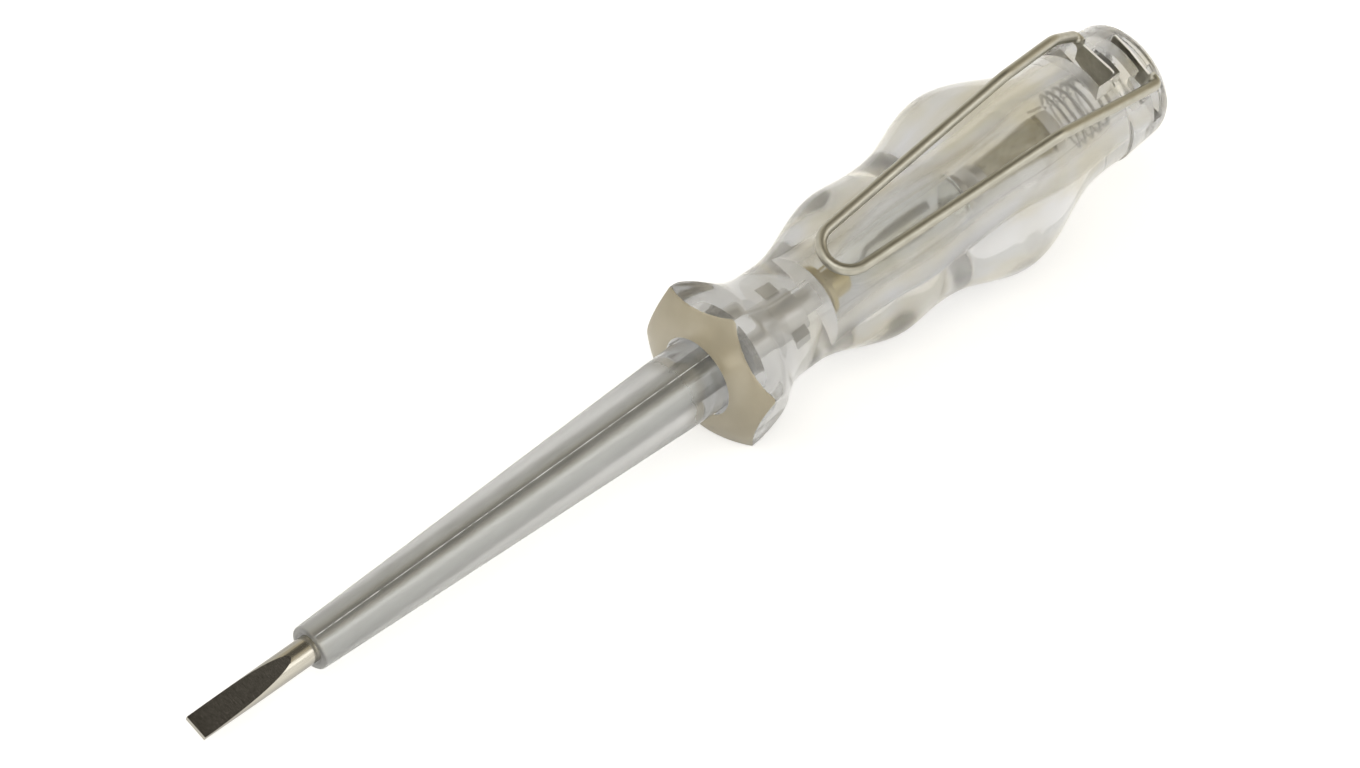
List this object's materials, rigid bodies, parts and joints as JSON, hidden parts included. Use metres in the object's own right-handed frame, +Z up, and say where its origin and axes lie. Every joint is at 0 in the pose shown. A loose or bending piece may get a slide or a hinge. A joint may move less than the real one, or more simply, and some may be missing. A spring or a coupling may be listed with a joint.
{
  "type": "voltage tester screwdriver",
  "caption": "Slim voltage tester screwdriver with a clear swelled handle, a glow lamp inside, a sleeved flat blade and a sprung wire pocket clip.",
  "frame": {"origin": "on the floor, below the middle of the tool as it lies on a flat of its guard and its rear swelling", "axes": "+X from the blade to the rear end of the handle, +Z up, +Y to the left when looking along +X"},
  "size_m": [0.1402, 0.0226, 0.0251],
  "materials": {
    "clear_plastic": "clear, polished, very faintly warm",
    "frosted_plastic": "translucent, frosted, clear and glossy at the guard",
    "blade_steel": "bright round rod with dark, finely ground flats",
    "nickel_wire": "warm nickel plating",
    "spring_steel": "dark drawn wire",
    "brass": "bright turned",
    "lamp_glass": "thin clear glass",
    "nickel": "satin nickel",
    "resistor_brown": "olive-brown lacquer"
  },
  "bodies": {
    "handle": {"handle": "clear_plastic", "blade_sleeve": "frosted_plastic", "blade": "blade_steel", "contact_spring": "spring_steel"},
    "clip": {"pocket_clip": "nickel_wire"},
    "lamp_stack": {"lamp_front_cap": "brass", "lamp_glass": "lamp_glass", "lamp_stem": "lamp_glass", "lamp_front_electrode": "nickel", "lamp_rear_electrode": "nickel", "lamp_rear_contact": "nickel", "resistor_front_cap": "nickel", "resistor_body": "resistor_brown", "resistor_rear_cap": "nickel"}
  },
  "joints": [
    {"name": "clip_flex", "type": "hinge", "parent": "handle", "child": "clip", "pos_m": [0.06525, -0.00245, 0.01689], "axis": [-0.0329, 0.866, 0.4989], "range_deg": [0, 5], "stiffness_Nm_per_rad": 4},
    {"name": "lamp_slide", "type": "slide", "parent": "handle", "child": "lamp_stack", "axis": [0.9978, 0, 0.0657], "range_m": [0, 0.0015], "stiffness_N_per_m": 500, "deforming": ["contact_spring"]}
  ]
}
